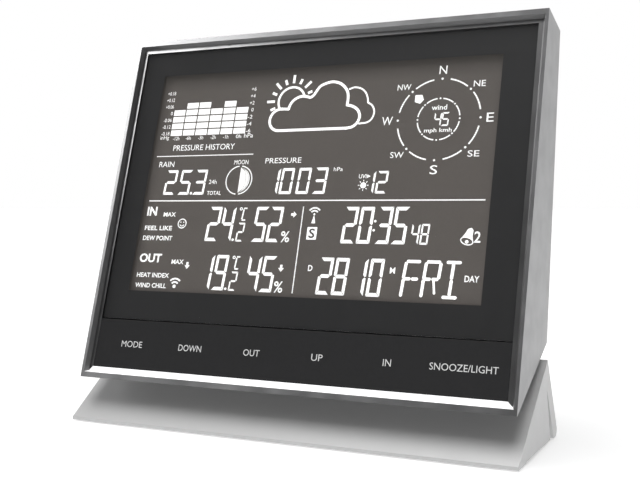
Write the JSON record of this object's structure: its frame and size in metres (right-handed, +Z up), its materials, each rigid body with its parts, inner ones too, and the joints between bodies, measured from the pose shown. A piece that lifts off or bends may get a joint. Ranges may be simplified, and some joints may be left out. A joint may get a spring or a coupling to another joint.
{
  "type": "home weather station",
  "caption": "Table-top weather station console: a leaning wedge-shaped display body with a touch strip, on a plug-in tent-shaped stand, with a battery bay behind.",
  "frame": {"origin": "on the table under the middle of the whole object's box", "axes": "+Z up, +X to the viewer's right as the display is read, +Y away from the viewer"},
  "size_m": [0.183, 0.0636, 0.1585],
  "materials": {
    "frame_silver": "fine satin silver paint",
    "window_tint": "tinted clear acrylic with a black printed border on its back",
    "touch_black": "black acrylic with printed white key legends",
    "black_tape": "matt foam",
    "chassis_black": "moulded",
    "polariser": "smooth film",
    "lcd_glass": "clear",
    "white_film": "matt film",
    "guide_acrylic": "clear acrylic",
    "led_strip": "white solder resist",
    "led_body": "phosphor yellow resin",
    "white_abs": "moulded",
    "zebra_rubber": "striped silicone",
    "circuit_green": "green solder resist",
    "black_resin": "moulded resin",
    "capacitor_sleeve": "printed sleeve over aluminium",
    "circuit_blue": "blue solder resist",
    "copper": "enamelled copper wire",
    "ferrite": "sintered ferrite",
    "tin_plate": "nickel plated",
    "spring_wire": "plated spring wire",
    "flat_cable": "grey ribbon",
    "cover_plastic": "fine spark-eroded texture",
    "cell_jacket": "plain printed jacket on a steel can",
    "screw_steel": "zinc plated",
    "stand_silver": "light satin silver paint on a moulded shell",
    "foot_rubber": "soft matt rubber"
  },
  "bodies": {
    "stand": {"stand": "stand_silver", "front_feet": "foot_rubber", "rear_feet": "foot_rubber"},
    "console": {"outer_frame": "frame_silver", "display_window": "window_tint", "touch_panel": "touch_black", "window_tape": "black_tape", "front_chassis": "chassis_black", "lcd_front_polarizer": "polariser", "lcd_rear_polarizer": "polariser", "lcd_front_glass": "lcd_glass", "lcd_rear_glass": "lcd_glass", "diffuser_film": "white_film", "reflector_film": "white_film", "light_guide": "guide_acrylic", "backlight_board": "led_strip", "backlight_leds": "led_body", "lcd_tray": "white_abs", "humidity_sensor": "white_abs", "elastomer_strip": "zebra_rubber", "main_board": "circuit_green", "touch_board": "circuit_green", "main_board_chips": "black_resin", "buzzer": "black_resin", "dc_socket": "black_resin", "main_board_capacitors": "capacitor_sleeve", "radio_module": "circuit_blue", "radio_antenna": "copper", "ferrite_coil": "copper", "ferrite_rod": "ferrite", "pressure_sensor": "tin_plate", "reset_switch": "tin_plate", "contact_plates": "tin_plate", "touch_springs": "spring_wire", "contact_springs": "spring_wire", "ribbon_cable": "flat_cable", "rear_cover": "cover_plastic", "battery_cells": "cell_jacket", "cover_screws": "screw_steel", "tray_screws": "screw_steel", "board_screws": "screw_steel", "dc_socket_nut": "screw_steel"},
    "battery_door": {"battery_door": "cover_plastic"},
    "reset_button": {"reset_button": "black_resin"}
  },
  "joints": [
    {"name": "console_lift", "type": "slide", "parent": "stand", "child": "console", "axis": [0, -0.4244, 0.9055], "range_m": [0, 0.01]},
    {"name": "battery_door_hinge", "type": "hinge", "parent": "console", "child": "battery_door", "pos_m": [0, 0.0175, 0.07237], "axis": [1, 0, 0], "range_deg": [0, 75]},
    {"name": "reset_press", "type": "slide", "parent": "console", "child": "reset_button", "axis": [0, -0.9578, 0.2874], "range_m": [0, 0.0005], "stiffness_N_per_m": 3000, "springref_m": -0.0002}
  ]
}
